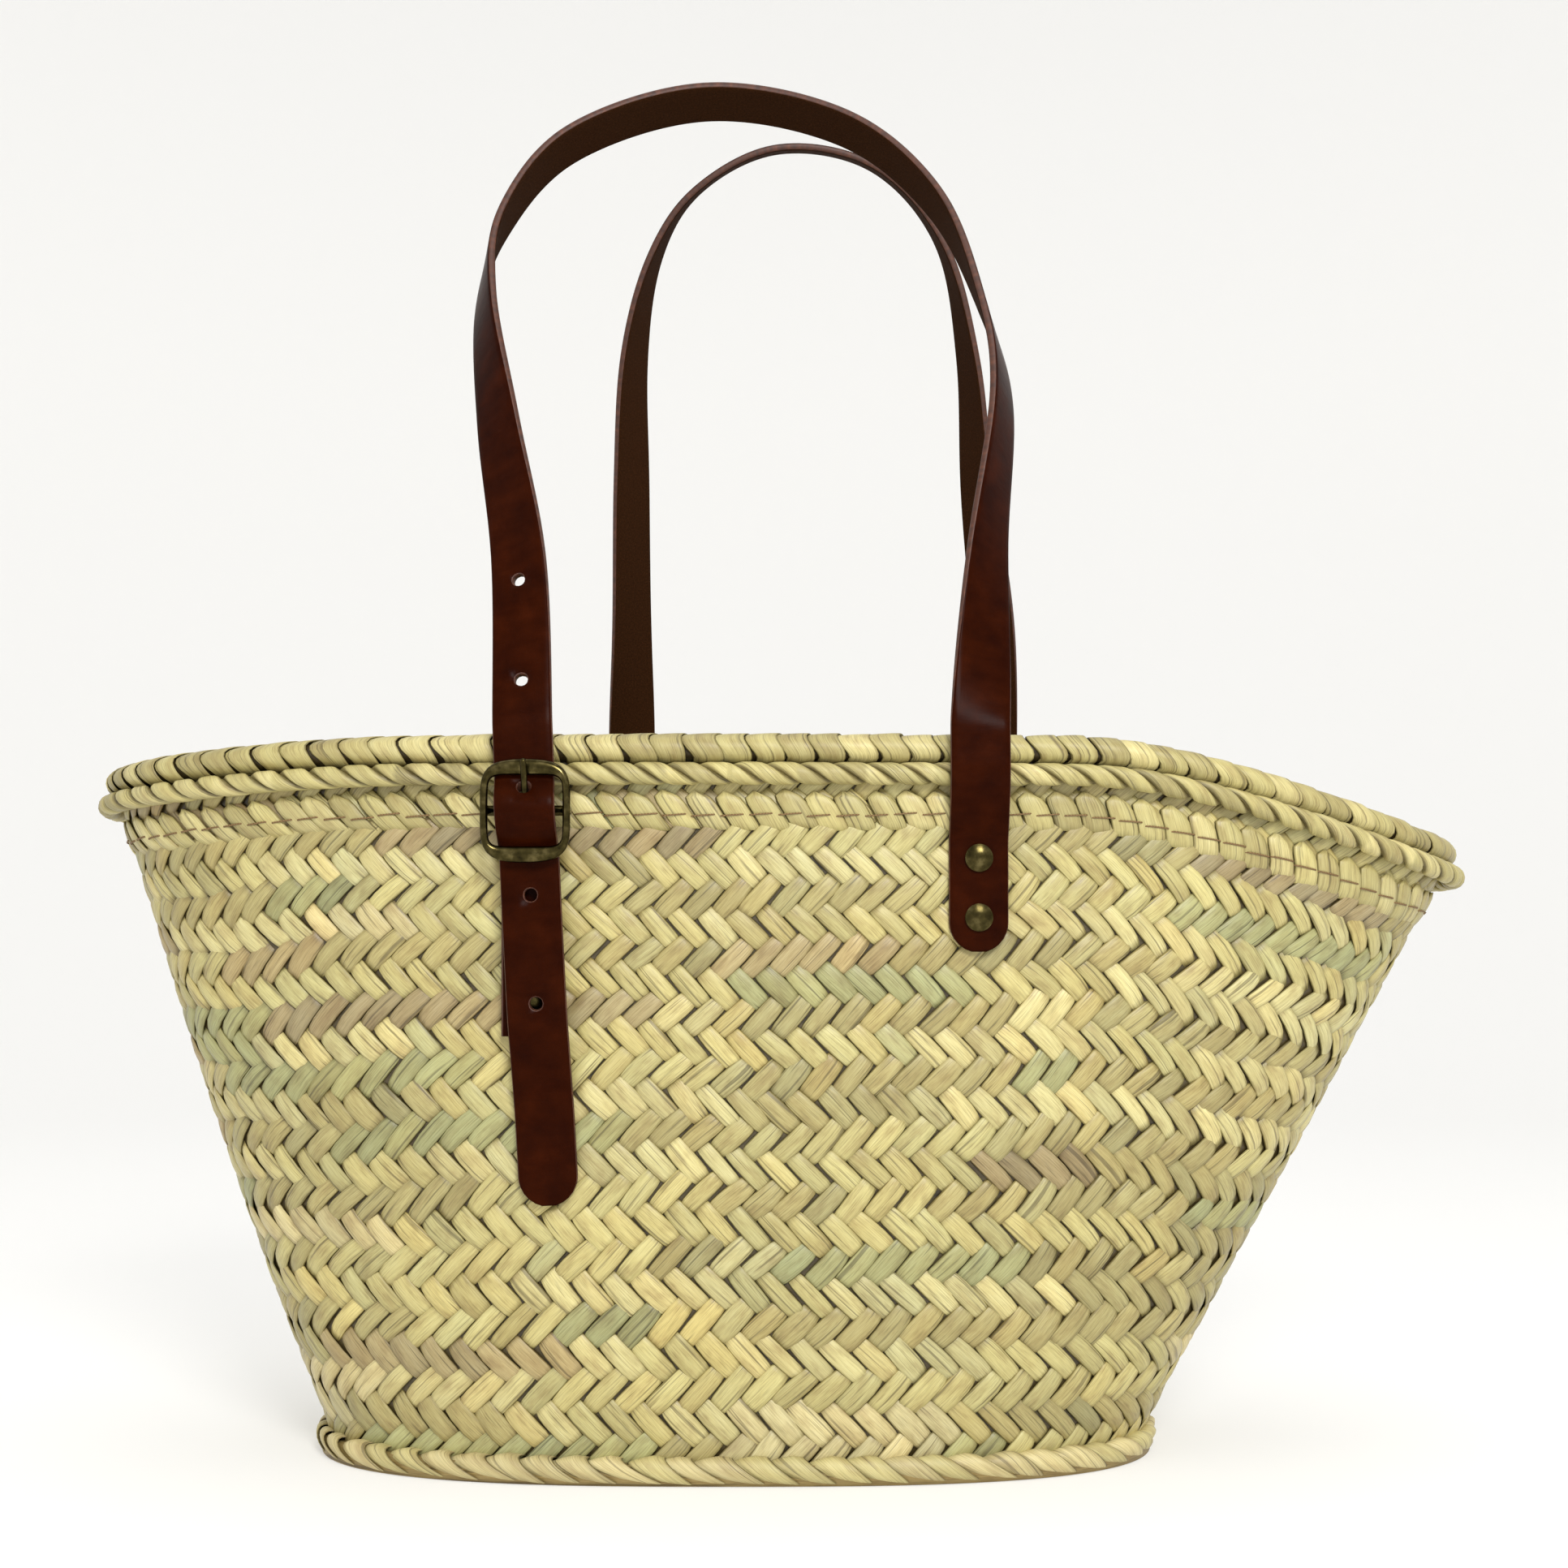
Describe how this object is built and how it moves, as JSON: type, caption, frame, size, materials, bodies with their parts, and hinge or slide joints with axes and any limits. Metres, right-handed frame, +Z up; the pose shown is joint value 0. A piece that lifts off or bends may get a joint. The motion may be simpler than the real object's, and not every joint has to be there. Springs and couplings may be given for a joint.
{
  "type": "woven market basket",
  "caption": "Flared oval palm-leaf market basket with a wrapped rim, a corded hem and long leather shoulder straps, each riveted at one end and buckled at the other.",
  "frame": {"origin": "centre of the base's underside, on the floor", "axes": "+X along the basket's long way, -Y out of its front, +Z up"},
  "size_m": [0.5099, 0.229, 0.511],
  "materials": {
    "palm_leaf": "satin dried palm leaf",
    "palm_leaf_pale": "satin dried palm leaf",
    "palm_leaf_rim": "satin dried palm leaf",
    "thread": "matte",
    "leather": "semi-gloss vegetable-tanned leather",
    "antique_brass": "antique"
  },
  "bodies": {
    "basket": {"basket_wall": "palm_leaf", "basket_floor": "palm_leaf", "base_hem": "palm_leaf_pale", "rim_roll": "palm_leaf_rim", "rim_cord": "palm_leaf_rim", "rim_fold": "palm_leaf", "rim_seam_thread": "thread", "front_strap_end": "leather", "front_strap_tail": "leather", "front_chape": "leather", "front_rivets": "antique_brass", "front_rivet_washers": "antique_brass", "back_strap_end": "leather", "back_strap_tail": "leather", "back_chape": "leather", "back_rivets": "antique_brass", "back_rivet_washers": "antique_brass"},
    "front_handle": {"front_strap": "leather"},
    "back_handle": {"back_strap": "leather"},
    "front_buckle": {"front_buckle_frame": "antique_brass"},
    "back_buckle": {"back_buckle_frame": "antique_brass"},
    "front_prong": {"front_buckle_prong": "antique_brass"},
    "back_prong": {"back_buckle_prong": "antique_brass"}
  },
  "joints": [
    {"name": "front_strap_swing", "type": "hinge", "parent": "basket", "child": "front_handle", "pos_m": [0, -0.1055, 0.256], "axis": [1, 0, 0], "range_deg": [-2, 140]},
    {"name": "back_strap_swing", "type": "hinge", "parent": "basket", "child": "back_handle", "pos_m": [0, 0.1055, 0.256], "axis": [-1, 0, 0], "range_deg": [-2, 140]},
    {"name": "front_buckle_tilt", "type": "hinge", "parent": "basket", "child": "front_buckle", "pos_m": [-0.06843, -0.10454, 0.226], "axis": [1, 0, 0], "range_deg": [-2, 2]},
    {"name": "back_buckle_tilt", "type": "hinge", "parent": "basket", "child": "back_buckle", "pos_m": [0.10743, 0.10219, 0.226], "axis": [-1, 0, 0], "range_deg": [-2, 2]},
    {"name": "front_prong_lift", "type": "hinge", "parent": "front_buckle", "child": "front_prong", "pos_m": [-0.06843, -0.10454, 0.226], "axis": [1, 0, 0], "range_deg": [0, 4]},
    {"name": "back_prong_lift", "type": "hinge", "parent": "back_buckle", "child": "back_prong", "pos_m": [0.10743, 0.10219, 0.226], "axis": [-1, 0, 0], "range_deg": [0, 4]}
  ]
}
